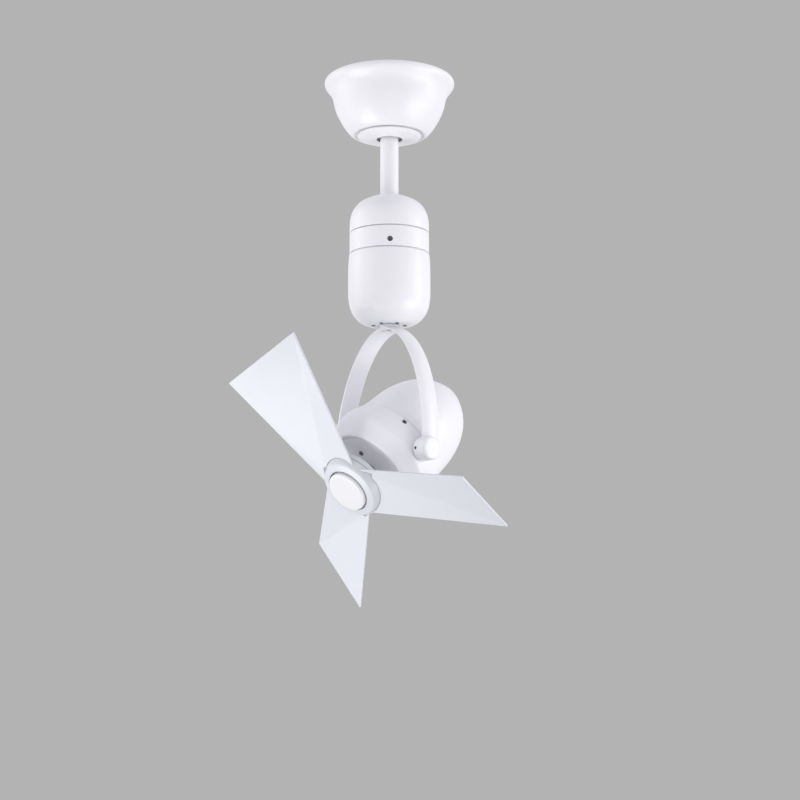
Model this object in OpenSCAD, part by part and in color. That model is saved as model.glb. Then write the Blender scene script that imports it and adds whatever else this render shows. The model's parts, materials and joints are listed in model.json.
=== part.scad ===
// Ceiling fan with one orbiting head on an inverted-U yoke.
// Millimetres. Origin: ceiling plane, on the axis of the rod. +Z up,
// +X along the tilt axis, -Y is the side the head faces.

/* [Ceiling cup] */
// Largest radius of the rolled rim
canopy_r = 76; // [75.8:0.1:78]
// Height of the cup
canopy_h = 66.5; // [66.2:0.1:67]
// Radius of the rod hole in the trim ring
ring_hole_r = 14.9; // [14:0.1:16.4]

/* [Rod] */
// Outside radius of the rod
rod_r = 10.65; // [9.5:0.05:10.65]
// Depth of the rod's lower end below the ceiling
rod_end = 162; // [157:0.5:162]

/* [Drive housing] */
// Radius of the lower cup
cup_r = 47.4; // [47.2:0.1:49]
// Radius of the middle band
band_r = 45.9; // [45.7:0.1:46.6]
// Screws in the round bottom
cup_screw_r = 18; // [17.5:0.1:18.5]

/* [Yoke] */
// Half span between the arm centres at the pivots
yoke_half = 73.7; // [73.2:0.1:75]
// Width of the strip
yoke_w = 25.7; // [20:0.1:28]
// Thickness of the strip
yoke_t = 3.8; // [3.5:0.1:4.4]
// Radius of the pivot barrels
barrel_r = 13.4; // [12:0.1:13.4]

/* [Head] */
// Downward pitch of the motor axis at rest
tilt = 38.3; // [30:0.1:45]
// Height of the head's datum, where the two shells meet
head_z = -435.5; // [-440:0.5:-434]
// Distance of the datum in front of (-) or behind (+) the rod axis
head_y = 2.7; // [0:0.1:4]

/* [Hub and blades] */
// Radius of the round cap
cap_r = 24; // [23.8:0.1:24.8]
// Largest radius of the hub ring
hub_r = 37.9; // [37.5:0.1:38]
// Tip position along the blade
blade_tip = 174.5; // [150:0.5:180]
// Thickness of a blade
blade_t = 2.2; // [2:0.1:2.6]
// Angle of the first blade about the motor axis
blade_a0 = 105.6; // [95:0.1:115]

/* [Hidden] */
$fn = 96;

ball_z = -42;
ball_r = 20;
bore_gap = 0.05;
band_z0 = -183.5;
band_z1 = -209.7;
cup_bot = -291.8;
gear_z = -260;
pin_y = 28.6;
flange_z = -293.5;
yoke_top = -295.4;
yoke_y = 2.2;
yoke_drop = head_z - yoke_top;
lean = 3;
// tilt axis in the head's own frame (q across, s forward)
tq = 4;
ts = 14.4;
axis_y = head_y - tq * sin(tilt) - ts * cos(tilt);
axis_z = head_z + tq * cos(tilt) - ts * sin(tilt);
screw_az = -41.4;

module ring(r0, r1, z0, z1) {
  rotate_extrude() translate([r0, z0]) square([r1 - r0, z1 - z0]);
}
module screw(r, len, hr, hh) {
  // head sits above z = 0, shank runs down
  difference() {
    union() {
      translate([0, 0, -len]) cylinder(r = r, h = len, $fn = 20);
      cylinder(r = hr, h = hh, $fn = 28);
    }
    for (a = [0, 90]) rotate(a)
      translate([-hr * 0.55, -hr * 0.11, hh * 0.45])
        cube([hr * 1.1, hr * 0.22, hh]);
  }
}
module head_frame() {
  translate([0, head_y, head_z]) rotate([90 + tilt, 0, 0]) children();
}
module at_pivot(side) {
  // local z runs outwards along the tilt axis
  translate([0, axis_y, axis_z]) rotate([0, side * 90, 0]) children();
}

// ---- ceiling side ----
module hanger_bracket() color([0.72, 0.73, 0.74]) difference() {
  union() {
    translate([-52, -20, -2.5]) cube([104, 40, 2.5]);
    for (s = [-1, 1])
      translate([s * 24 - 1.5, -9, -56]) cube([3, 18, 54]);
    translate([0, 0, -56]) cylinder(r = 24, h = 13);
  }
  for (s = [-1, 1]) translate([s * 40, 0, -3]) {
    for (k = [-3, 3]) translate([k, 0, 0]) cylinder(r = 3, h = 4, $fn = 32);
    translate([-3, -3, 0]) cube([6, 6, 4]);
  }
  translate([0, -10, -3]) cylinder(r = 6.5, h = 4, $fn = 48);
  for (s = [-1, 1]) translate([s * 31, 0, -3])
    cylinder(r = 1.6, h = 4, $fn = 20);
  translate([0, 0, ball_z]) sphere(r = ball_r + 0.08);
  translate([0, 0, -57]) cylinder(r = 15.2, h = 16);
  translate([-12, -30, -57]) cube([24, 30, 16]);
}

canopy_out = [[70, 0], [73.6, -0.5], [75.4, -2], [canopy_r, -4.6],
  [75.6, -6.4], [74.6, -8.4], [72.6, -11], [70.3, -14], [68.3, -17],
  [66.8, -20.2], [65.8, -23.6], [65, -27.4], [64.2, -31.4], [63.2, -35],
  [61.9, -38.6], [60.4, -42], [58.6, -45.6], [56.6, -49.4], [54.4, -53],
  [52, -56.8], [49.4, -60.4], [46.6, -63.5], [43.6, -canopy_h + 0.8],
  [42.4, -canopy_h], [41.2, -canopy_h + 0.1], [40.2, -canopy_h + 0.7],
  [39.6, -65.2]];
canopy_in = [[39.4, -65], [23, -65], [23, -63.2], [42.4, -63.2],
  [45.2, -62.2], [47.8, -59.4], [50.4, -55.8], [52.8, -52], [55, -48.4],
  [57, -44.6], [58.8, -41], [60.2, -37.6], [61.4, -34.2], [62.4, -30.8],
  [63.2, -26.8], [64, -23], [65.2, -19.2], [66.8, -15.8], [68.8, -12.8],
  [71.1, -9.8], [73, -7.2], [74, -5], [73.9, -3.2], [72.8, -2.2],
  [70, -1.8]];
module canopy() color([0.93, 0.93, 0.94]) difference() {
  rotate_extrude() polygon(concat(canopy_out, canopy_in));
  for (s = [-1, 1]) translate([s * 31, 0, -69])
    cylinder(r = 1.9, h = 8, $fn = 24);
}
module canopy_posts() color([0.78, 0.66, 0.36])
  for (s = [-1, 1]) translate([s * 31, 0, 0]) difference() {
    union() {
      translate([0, 0, -63.2]) cylinder(r = 3.6, h = 60.6, $fn = 6);
      translate([0, 0, -2.6]) cylinder(r = 1.55, h = 2.6, $fn = 20);
    }
    translate([0, 0, -64]) cylinder(r = 1.55, h = 12, $fn = 20);
  }
module canopy_screws() color([0.6, 0.6, 0.62])
  for (s = [-1, 1]) translate([s * 31, 0, -65]) rotate([180, 0, 0])
    screw(1.5, 9, 3, 1.6);
// shallow cap that closes the mouth and leaves the rod room to swing
module canopy_ring() color([0.95, 0.95, 0.96]) rotate_extrude()
  polygon([[ring_hole_r, -70.2], [ring_hole_r, -71.2],
    [ring_hole_r + 0.6, -71.7], [22, -71.7], [27, -71.3], [31, -70.6],
    [34.2, -69.5], [36.4, -68.3], [37.4, -67.4], [37.1, -66.9],
    [36.2, -67.1], [35.3, -67.6], [35.3, -65.02], [34.1, -65.02],
    [34.1, -68.2], [31, -69.2], [27, -69.9], [22, -70.2]]);
module terminal_block() color([0.9, 0.89, 0.84]) difference() {
  translate([-16, 3, -13.5]) cube([32, 13, 10.9]);
  for (x = [-10, 0, 10]) {
    translate([x, 2, -8]) rotate([-90, 0, 0])
      cylinder(r = 2.2, h = 16, $fn = 24);
    translate([x, 9.5, -14]) cylinder(r = 2, h = 6, $fn = 24);
  }
}

// ---- rod and drive housing ----
module hanger_ball() color([0.25, 0.25, 0.26]) difference() {
  translate([0, 0, ball_z]) sphere(r = ball_r);
  translate([0, 0, -65]) cylinder(r = rod_r + bore_gap, h = 46);
  translate([-22, -22, -28]) cube([44, 44, 12]);
  translate([-22, 0, ball_z]) rotate([0, 90, 0])
    cylinder(r = 3, h = 44, $fn = 32);
}
module ball_pin() color([0.62, 0.62, 0.64])
  translate([-18, 0, ball_z]) rotate([0, 90, 0])
    cylinder(r = 2.95, h = 36, $fn = 32);
module downrod() color([0.94, 0.94, 0.95]) difference() {
  translate([0, 0, -rod_end]) cylinder(r = rod_r, h = rod_end - 30);
  translate([0, 0, -rod_end - 1]) cylinder(r = rod_r - 1.5, h = rod_end);
  for (p = [[ball_z, 3], [-151, 2.5]])
    translate([-22, 0, p[0]]) rotate([0, 90, 0])
      cylinder(r = p[1], h = 44, $fn = 32);
}
module rod_coupling() color([0.66, 0.67, 0.69]) difference() {
  union() {
    translate([0, 0, -167.6]) cylinder(r = 16, h = 21.4);
    translate([0, 0, -167.6]) cylinder(r = 31, h = 4);
  }
  translate([0, 0, -rod_end - 0.1])
    cylinder(r = rod_r + bore_gap, h = 40);
  translate([0, 0, -169]) cylinder(r = 8.5, h = 10, $fn = 48);
  translate([-22, 0, -151]) rotate([0, 90, 0])
    cylinder(r = 2.5, h = 44, $fn = 32);
  for (a = [30, 150, 270]) rotate(a) translate([24, 0, -169])
    cylinder(r = 2.2, h = 8, $fn = 24);
}
module coupling_pin() color([0.62, 0.62, 0.64])
  translate([-15, 0, -151]) rotate([0, 90, 0])
    cylinder(r = 2.45, h = 30, $fn = 32);
module frame_screws() color([0.6, 0.6, 0.62])
  for (a = [30, 150, 270]) rotate(a) translate([24, 0, -163.6])
    screw(2.1, 9, 3.8, 2.2);

cap_prof = [[10.9, -138.7], [13.4, -139.3], [18.3, -141],
  [22.4, -142.5], [26.4, -144.1], [30.6, -146], [34.3, -148.2],
  [37, -150.6], [39.3, -153.3], [41.5, -156.4], [43.2, -159.6],
  [44.4, -163.2], [45.1, -167], [45.6, -171], [band_r, -175.4],
  [band_r, -182.9], [45.3, band_z0]];
cap_inner = [[43.6, band_z0], [43.6, -173.6], [43.2, -169], [42.4, -165],
  [41.2, -161], [39.5, -157.8], [37.4, -154.8], [35, -152],
  [32.2, -149.8], [29.6, -148.2], [25.4, -146.2], [21.4, -144.6],
  [17.4, -143.2], [12.6, -141.6], [10.9, -141.2]];
module upper_cap() color([0.94, 0.94, 0.95])
  rotate_extrude() polygon(concat(cap_prof, cap_inner));
// the two grooves beside the band are open down to its spigots
module middle_band() color([0.94, 0.94, 0.95]) difference() {
  rotate_extrude() polygon([[43.4, band_z0 - 1.3],
    [45.3, band_z0 - 1.3], [band_r, band_z0 - 1.9],
    [band_r, band_z1 + 1.9], [45.3, band_z1 + 1.3],
    [44, band_z1 + 1.3], [44, band_z1 - 0.6], [44.8, band_z1 - 1.4],
    [44.8, -218], [42.4, -218], [42.4, -174], [43.4, -174]]);
  for (a = [0, 120, 240]) rotate(screw_az + a) translate([0, 0, -200.8])
    rotate([0, 90, 0]) {
      cylinder(r = 1.9, h = 60, $fn = 24);
      translate([0, 0, 44.4]) cylinder(r = 3.2, h = 10, $fn = 28);
    }
}
module band_screws() color([0.35, 0.35, 0.37])
  for (a = [0, 120, 240]) rotate(screw_az + a)
    translate([44.4, 0, -200.8]) rotate([0, 90, 0]) screw(1.7, 5.2, 3, 1.4);
module drive_frame() color([0.7, 0.71, 0.73]) difference() {
  union() {
    translate([0, 0, -171.6]) cylinder(r = 42, h = 4);
    ring(39.4, 42, -208, -171);
    for (a = [30, 150, 270]) rotate(a) translate([33.5, 0, -247])
      cylinder(r = 3.6, h = 76, $fn = 32);
    translate([0, 0, -250]) cylinder(r = 40.5, h = 4);
    translate([0, 0, -247]) cylinder(r = 17.4, h = 13);
  }
  translate([0, 0, -173]) cylinder(r = 9, h = 6, $fn = 48);
  for (a = [30, 150, 270]) rotate(a) translate([24, 0, -173])
    cylinder(r = 2.15, h = 6, $fn = 24);
  for (a = [0, 120, 240]) rotate(screw_az + a) translate([0, 0, -200.8])
    rotate([0, 90, 0]) cylinder(r = 1.75, h = 50, $fn = 24);
  translate([0, 0, -245]) cylinder(r = 15.02, h = 12);
  translate([0, 0, -251]) cylinder(r = 12.5, h = 8);
  translate([0, pin_y, -251]) cylinder(r = 8.2, h = 6, $fn = 48);
}
module upper_bearing_outer() color([0.75, 0.76, 0.78]) rotate_extrude()
  difference() {
    translate([12.8, -245]) square([2.2, 10]);
    translate([11.5, -240]) circle(r = 2.6, $fn = 32);
  }
module upper_bearing_inner() color([0.78, 0.79, 0.8]) rotate_extrude()
  union() {
    translate([8.03, -245]) square([2.4, 10]);
    translate([11.5, -240]) circle(r = 2.3, $fn = 32);
  }
module lower_bearing_outer() color([0.75, 0.76, 0.78])
  translate([0, 0, -41]) upper_bearing_outer();
module lower_bearing_inner() color([0.78, 0.79, 0.8])
  translate([0, 0, -41]) upper_bearing_inner();
module bearing_housing() color([0.7, 0.71, 0.73]) difference() {
  union() {
    translate([0, 0, -287.7]) cylinder(r = 18, h = 13.7);
    translate([0, 0, -287.7]) cylinder(r = 23, h = 4);
  }
  translate([0, 0, -286]) cylinder(r = 15.02, h = 13);
  translate([0, 0, -289]) cylinder(r = 12.5, h = 6);
  for (a = [0 : 60 : 300]) rotate(a - 72)
    translate([cup_screw_r, 0, -289]) cylinder(r = 1.55, h = 5, $fn = 20);
}
cup_out = [[45.6, band_z1], [46.3, band_z1 - 0.6], [46.7, -214],
  [47.1, -219], [47.3, -225], [cup_r, -240], [cup_r, -250], [47.2, -258],
  [46.7, -264], [45.9, -268.6], [44.7, -272.6], [42.9, -277],
  [41, -280.2], [38.8, -283.2], [36.1, -285.9], [33, -288.3],
  [29.6, -290.2], [26.1, -291.5], [22.6, cup_bot]];
cup_in = [[9.2, cup_bot], [9.2, -287.8], [24, -287.8], [28.2, -287.4],
  [31.4, -286], [34.6, -283.8], [37, -281.4], [39, -278.8],
  [41, -275.4], [42.5, -271.6], [43.6, -267.6], [44.4, -263],
  [44.9, -257], [45, -248], [45, band_z1]];
module lower_cup() color([0.94, 0.94, 0.95]) difference() {
  rotate_extrude() polygon(concat(cup_out, cup_in));
  for (a = [0 : 60 : 300]) rotate(a - 72)
    translate([cup_screw_r, 0, -293]) cylinder(r = 1.75, h = 7, $fn = 20);
}
module cup_screws() color([0.35, 0.35, 0.37])
  for (a = [0 : 60 : 300]) rotate(a - 72)
    translate([cup_screw_r, 0, cup_bot]) rotate([180, 0, 0])
      screw(1.5, 7.4, 2.3, 1);
module pan_motor() color([0.3, 0.31, 0.33]) translate([0, pin_y, 0])
  difference() {
    union() {
      translate([0, 0, -245.9]) cylinder(r = 10.8, h = 24, $fn = 64);
      translate([0, 0, -222]) cylinder(r = 9, h = 15, $fn = 64);
    }
    translate([0, 0, -247]) cylinder(r = 2.56, h = 14.5, $fn = 32);
  }
module brush_block() color([0.85, 0.84, 0.8]) {
  difference() {
    translate([-8, -28.4, -245.9]) cube([16, 10, 34]);
    for (z = [-215, -220, -225]) translate([0, -29, z])
      rotate([-90, 0, 0]) cylinder(r = 1.2, h = 12, $fn = 20);
  }
  for (z = [-215, -220, -225])
    translate([-3, -18.5, z - 0.6]) cube([6, 6.3, 1.2]);
}

function gear_pts(n, m) = [for (i = [0 : n - 1], k = [0 : 5])
  let (rp = n * m / 2, a = 360 / n * i,
    h = [[-0.27, -1.2], [-0.235, -0.5], [-0.12, 1], [0.12, 1],
      [0.235, -0.5], [0.27, -1.2]][k])
  [(rp + h[1] * m) * cos(a + h[0] * 360 / n * 0.97),
   (rp + h[1] * m) * sin(a + h[0] * 360 / n * 0.97)]];
module pan_pinion() color([0.78, 0.66, 0.36])
  translate([0, pin_y, gear_z]) union() {
    linear_extrude(8) rotate(-90 + 15) polygon(gear_pts(12, 1.1));
    cylinder(r = 2.5, h = 27, $fn = 32);
  }
module pan_gear() color([0.88, 0.87, 0.83]) translate([0, 0, gear_z])
  difference() {
    union() {
      linear_extrude(8) rotate(90) polygon(gear_pts(40, 1.1));
      translate([0, 0, -7]) cylinder(r = 12, h = 8);
    }
    translate([0, 0, -8]) cylinder(r = 8.03, h = 18);
    for (a = [0 : 60 : 300]) rotate(a) translate([14.6, 0, -8])
      cylinder(r = 2, h = 18, $fn = 20);
  }
module output_shaft() color([0.72, 0.73, 0.75]) difference() {
  union() {
    translate([0, 0, -287]) cylinder(r = 8, h = 77);
    translate([0, 0, flange_z]) cylinder(r = 8.9, h = 7.1);
    translate([0, 0, flange_z]) cylinder(r = 10.6, h = 1.35);
  }
  translate([0, 0, -294]) cylinder(r = 3.6, h = 90, $fn = 48);
  for (a = [0, 120, 240]) rotate(a + 90) translate([6.6, 0, -294])
    cylinder(r = 1.55, h = 6.4, $fn = 20);
  ring(7.2, 8.5, -234.4, -233.2);
}
module retaining_ring() color([0.5, 0.5, 0.52]) difference() {
  ring(7.25, 10, -234.3, -233.3);
  translate([-1.5, 5, -235]) cube([3, 8, 3]);
}
module slip_ring() color([0.8, 0.66, 0.3]) {
  rotate_extrude() polygon([[8.03, -229], [11, -229], [11, -226.2],
    [11.8, -226.2], [11.8, -223.8], [11, -223.8], [11, -221.2],
    [11.8, -221.2], [11.8, -218.8], [11, -218.8], [11, -216.2],
    [11.8, -216.2], [11.8, -213.8], [11, -213.8], [11, -212],
    [8.03, -212]]);
}

// ---- yoke ----
function arch_x(t) = yoke_half * pow(1 - pow(1 - t, 1.88), 1 / 1.94);
arch_t = [0, 0.004, 0.012, 0.025, 0.045, 0.07, 0.1, 0.14, 0.19, 0.25,
  0.32, 0.4, 0.49, 0.59, 0.7, 0.82, 0.94, 1.0];
arch_c = [for (t = arch_t) [arch_x(t), yoke_drop * t]];
function nrm(i) = let (n = len(arch_c),
  a = arch_c[max(i - 1, 0)], b = arch_c[min(i + 1, n - 1)],
  d = i == 0 ? [1, 0] : b - a, l = norm(d)) [-d[1] / l, d[0] / l];
function side(k) = [for (i = [0 : len(arch_c) - 1])
  arch_c[i] + k * yoke_t / 2 * nrm(i)];
function flip(p) = [for (i = [len(p) - 1 : -1 : 1]) [-p[i][0], p[i][1]]];
function back(p) = [for (i = [len(p) - 1 : -1 : 0]) p[i]];
arch_end = axis_z - yoke_top;
module yoke() color([0.94, 0.94, 0.95]) difference() {
  union() {
    translate([0, yoke_y, yoke_top]) rotate([90 - lean, 0, 0])
      translate([0, 0, -yoke_w / 2]) linear_extrude(yoke_w)
        polygon(concat(flip(side(1)), side(1), back(side(-1)),
          back(flip(side(-1)))));
    translate([0, 0, yoke_top - 1]) cylinder(r = 10.6, h = 2.85);
    for (s = [-1, 1]) {
      at_pivot(s) translate([0, 0, 63.8])
        cylinder(r = barrel_r, h = 19.6);
      // run-out of the arm into the barrel
      translate([s * yoke_half - yoke_t / 2, axis_y - 6, axis_z])
        cube([yoke_t, 16, 11]);
    }
  }
  // clear room for the turning head
  for (s = [-1, 1]) at_pivot(s) {
    translate([0, 0, 50]) cylinder(r = 30, h = 13.8);
    translate([0, 0, 50]) cylinder(r = 4.05, h = 29.8, $fn = 48);
  }
  for (s = [-1, 1]) translate([s * 69, axis_y, axis_z])
    rotate([90, 0, 0]) cylinder(r = 1.85, h = 20, $fn = 24);
  translate([0, 0, -320]) cylinder(r = 3.6, h = 30, $fn = 48);
  // flat seat for the flange of the shaft
  translate([0, 0, yoke_top + 1.85]) cylinder(r = 15, h = 6);
  for (a = [0, 120, 240]) rotate(a + 90) {
    translate([6.6, 0, -320]) cylinder(r = 1.75, h = 30, $fn = 20);
    translate([6.6, 0, -320]) cylinder(r = 2.8, h = 23.6, $fn = 24);
  }
}
module yoke_screws() color([0.4, 0.4, 0.42])
  for (a = [0, 120, 240]) rotate(a + 90) translate([6.6, 0, -296.4])
    rotate([180, 0, 0]) screw(1.5, 8, 2.6, 1.6);
module pivot_screws() color([0.2, 0.2, 0.21])
  for (s = [-1, 1])
    translate([s * 69, axis_y - 5, axis_z])
      rotate([90, 0, 0]) difference() {
        cylinder(r = 1.8, h = barrel_r - 5.6, $fn = 24);
        translate([0, 0, barrel_r - 7.4]) cylinder(r = 0.9, h = 4, $fn = 6);
      }

// ---- head shells (r, s) ----
dome_out = [[0, -118.4], [5, -117.7], [10, -115.9], [14.6, -113.4],
  [19.4, -109.9], [24, -106], [28.3, -102], [32.6, -97.5],
  [36.7, -92.8], [40.5, -87.8], [43.9, -82.6], [47, -76.6],
  [49.7, -70.2], [51.9, -63.6], [53.7, -56.8], [55.1, -50], [56, -43],
  [56.6, -36], [57, -29], [57.5, -21.5], [58.3, -14], [59.5, -7.5],
  [60.9, -2], [61, -0.9], [60.6, -0.3]];
dome_in = [[59.5, -0.3], [59.5, 10], [57.6, 10], [57.2, -4],
  [55.9, -14], [54.8, -29], [54.2, -40], [53, -50], [50.8, -60.2],
  [48, -68.6], [45, -76], [41.2, -82.6], [36.6, -89], [31.2, -95.4],
  [25, -101.6], [18, -107.4], [9.4, -113.2], [0, -115.8]];
module rear_dome() color([0.94, 0.94, 0.95]) head_frame() difference() {
  rotate_extrude() polygon(concat(dome_out, dome_in));
  for (a = [0, 120, 240]) rotate(35 + a) translate([50, 0, 5.8])
    rotate([0, 90, 0]) cylinder(r = 1.55, h = 20, $fn = 20);
  for (s = [-1, 1]) translate([0, tq, ts]) rotate([0, s * 90, 0])
    translate([0, 0, 48]) cylinder(r = 13.6, h = 20, $fn = 48);
}
front_out = [[59.7, 0.3], [61.3, 0.3], [62.2, 1.2], [63.1, 5],
  [63.8, 9.5], [64.2, 14], [64.2, 18.6], [63.9, 22.6], [63.2, 26],
  [62.2, 28.6], [60.6, 31], [57.9, 34.6], [55.2, 38.6],
  [52.8, 42.4], [51.2, 44.9], [50, 46], [48.6, 46.2]];
front_in = [[47.2, 45], [46.2, 43.8], [45.6, 43.2], [45.6, 40.4],
  [43.6, 40.4], [43.2, 35], [41, 30], [38, 25], [34.6, 21.6], [31, 20], [13.05, 20], [13.05, 12],
  [11, 12], [11, 9], [16, 9], [16, 17], [32, 17], [36.6, 18.6],
  [40.6, 22.4], [44, 27.6], [46.8, 33.6], [48.8, 39], [50.2, 41.4],
  [52.8, 37.2], [55, 33.6], [57.2, 30], [59, 26.8], [60.4, 23.8],
  [61.4, 20], [61.7, 14], [61.4, 10.2], [59.7, 10.2]];
module front_housing() color([0.94, 0.94, 0.95]) head_frame()
  difference() {
    union() {
      rotate_extrude() polygon(concat(front_out, front_in));
      // posts under the dished cover
      for (a = [0, 180]) rotate(89 + a)
        translate([22.3, 0, 19]) cylinder(r = 3.4, h = 19.3);
      intersection() {
        rotate_extrude() polygon([[50, 0.5], [61.4, 0.5], [62.2, 1.4],
          [63.1, 5], [63.8, 9.5], [64.1, 14], [64.1, 18.6],
          [63.8, 22.6], [63.1, 26], [50, 26]]);
        for (s = [-1, 1]) translate([0, tq, ts]) rotate([0, s * 90, 0])
          translate([0, 0, 56]) cylinder(r = 13.2, h = 12, $fn = 48);
      }
    }
    // each barrel stands in a shallow round pocket
    for (s = [-1, 1]) translate([0, tq, ts]) rotate([0, s * 90, 0]) {
      translate([0, 0, 50]) cylinder(r = 4.05, h = 20, $fn = 32);
      translate([0, 0, 63]) cylinder(r = 13.7, h = 10, $fn = 96);
    }
    for (a = [0, 120, 240]) rotate(35 + a) translate([55, 0, 5.8])
      rotate([0, 90, 0]) {
        cylinder(r = 1.75, h = 20, $fn = 20);
        translate([0, 0, 6.6]) cylinder(r = 3, h = 10, $fn = 24);
      }
    for (a = [0, 90, 180, 270]) rotate(62.5 + a) translate([26.6, 0, 15])
      cylinder(r = 2.1, h = 8, $fn = 20);
    for (a = [0, 180]) rotate(89 + a) translate([22.3, 0, 30])
      cylinder(r = 1.55, h = 10, $fn = 20);
  }
module housing_screws() color([0.25, 0.25, 0.27]) head_frame()
  for (a = [0, 120, 240]) rotate(35 + a) translate([61.6, 0, 5.8])
    rotate([0, 90, 0]) screw(1.5, 5, 2.8, 1.3);
// dished cover that fills the front of the housing
module bearing_cover() color([0.93, 0.93, 0.94]) head_frame() difference() {
  rotate_extrude() polygon([[7.2, 38.4], [7.2, 40], [24, 40],
    [29, 40.2], [33, 40.7], [37, 41.4], [41, 42.4], [44, 43.2],
    [45.4, 43.4], [45.4, 41.3], [44, 41.1], [41, 40.6], [37, 39.7],
    [33, 39], [29, 38.6], [24, 38.4]]);
  for (a = [0, 180]) rotate(89 + a) translate([22.3, 0, 35]) {
    cylinder(r = 1.7, h = 8, $fn = 20);
    translate([0, 0, 4.8]) cylinder(r = 3, h = 4, $fn = 28);
  }
}
module cover_screws() color([0.25, 0.25, 0.27]) head_frame()
  for (a = [0, 180]) rotate(89 + a) translate([22.3, 0, 39.8])
    screw(1.5, 8, 2.8, 1.6);
module motor_screws() color([0.25, 0.25, 0.27]) head_frame()
  for (a = [0, 90, 180, 270]) rotate(62.5 + a) translate([26.6, 0, 20])
    screw(2, 7, 3.2, 1.9);
module tilt_bolts() color([0.6, 0.6, 0.62])
  for (s = [-1, 1]) at_pivot(s) translate([0, 0, 50])
    cylinder(r = 4, h = 29.4, $fn = 48);
module tilt_nuts() color([0.66, 0.66, 0.68])
  for (s = [-1, 1]) at_pivot(s) translate([0, 0, 51.4]) difference() {
    cylinder(r = 7, h = 4.4, $fn = 6);
    translate([0, 0, -1]) cylinder(r = 4.03, h = 8, $fn = 48);
  }
module friction_washers() color([0.15, 0.15, 0.16])
  for (s = [-1, 1]) at_pivot(s) translate([0, 0, 63.02]) difference() {
    cylinder(r = 9, h = 0.66, $fn = 48);
    translate([0, 0, -1]) cylinder(r = 4.1, h = 4, $fn = 48);
  }

// ---- fan motor ----
module front_bracket() color([0.6, 0.61, 0.63]) head_frame() difference() {
  union() {
    translate([0, 0, 13]) cylinder(r = 31, h = 3.95);
    rotate_extrude() polygon([[28, 13], [31, 13], [31, 14], [36, 13],
      [44, 10], [46.1, 6], [46.1, -8], [48.4, -8], [48.4, 8],
      [45.6, 12.6], [37, 16], [31, 16.95], [28, 16.95]]);
  }
  translate([0, 0, 10]) cylinder(r = 17, h = 10);
  for (a = [0, 90, 180, 270]) rotate(62.5 + a) translate([26.6, 0, 10])
    cylinder(r = 2.05, h = 8, $fn = 20);
}
module rear_bracket() color([0.6, 0.61, 0.63]) head_frame() difference() {
  rotate_extrude() polygon([[10, -58], [17, -58], [17, -52.4],
    [40, -52.4], [46.6, -50], [48.4, -46], [48.4, -8.4], [46.1, -8.4],
    [46.1, -46], [44, -49], [39, -49.4], [17, -49.4], [16, -48],
    [13.05, -48], [13.05, -56], [10, -56]]);
  for (a = [0 : 45 : 315]) rotate(a) translate([31, 0, -54])
    cylinder(r = 4.2, h = 8, $fn = 24);
}
module stator_core() color([0.45, 0.46, 0.48]) head_frame()
  translate([0, 0, -30]) linear_extrude(34) difference() {
    circle(r = 46);
    circle(r = 24.5);
    for (a = [0 : 30 : 330]) rotate(a + 15) {
      translate([26, -4]) square([14, 8]);
      translate([22, -1.2]) square([6, 2.4]);
    }
  }
module windings() color([0.72, 0.4, 0.2]) head_frame() {
  rotate_extrude() translate([26.5, 4.1]) square([13, 6.4]);
  rotate_extrude() translate([26.5, -36.4]) square([13, 6.3]);
  for (a = [0 : 30 : 330]) rotate(a + 15)
    translate([26.6, -3.6, -31]) cube([12.8, 7.2, 36]);
}
module front_bearing_outer() color([0.75, 0.76, 0.78]) head_frame()
  rotate_extrude() difference() {
    translate([11, 12.02]) square([2, 7.9]);
    translate([9.6, 16]) circle(r = 2.3, $fn = 32);
  }
module front_bearing_inner() color([0.78, 0.79, 0.8]) head_frame()
  rotate_extrude() union() {
    translate([5.03, 12.02]) square([3, 7.9]);
    translate([9.2, 16]) circle(r = 2.1, $fn = 32);
  }
module rear_bearing_outer() color([0.75, 0.76, 0.78]) head_frame()
  rotate_extrude() difference() {
    translate([11, -55.98]) square([2, 7.9]);
    translate([9.6, -52]) circle(r = 2.3, $fn = 32);
  }
module rear_bearing_inner() color([0.78, 0.79, 0.8]) head_frame()
  rotate_extrude() union() {
    translate([5.03, -55.98]) square([3, 7.9]);
    translate([9.2, -52]) circle(r = 2.1, $fn = 32);
  }

// ---- turning parts ----
module motor_shaft() color([0.72, 0.73, 0.75]) head_frame() {
  translate([0, 0, -57]) cylinder(r = 5, h = 118.4, $fn = 48);
  translate([0, 0, 61.4]) cylinder(r = 4, h = 18.6, $fn = 48);
}
module rotor_core() color([0.5, 0.51, 0.53]) head_frame()
  translate([0, 0, -31]) difference() {
    cylinder(r = 24, h = 36);
    translate([0, 0, -1]) cylinder(r = 5.03, h = 40, $fn = 48);
    for (a = [0 : 45 : 315]) rotate(a) translate([15, 0, -1])
      cylinder(r = 3, h = 40, $fn = 20);
  }
module hub_flange() color([0.92, 0.92, 0.94]) head_frame() difference() {
  rotate_extrude() polygon([[4.05, 61.45], [5.06, 61.45], [5.06, 55],
    [12, 55], [13, 58], [20, 61.6], [36.6, 62.2], [38, 63.4],
    [38, 69.4], [36, 69.4], [36, 66.4], [4.05, 66.4]]);
  // the rim stops either side of each blade tab
  for (k = [0, 1, 2]) rotate(blade_a0 + 120 * k)
    translate([0, 0, 66.4]) linear_extrude(4)
      polygon([[10, -10.6], [30, -16.6], [50, -20.4], [50, 11.8],
        [30, 15.6], [10, 10.6]]);
  for (k = [0, 1, 2], y = [-6.5, 6.5]) rotate(blade_a0 + 120 * k)
    translate([18, y, 60]) cylinder(r = 1.75, h = 10, $fn = 20);
}
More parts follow.
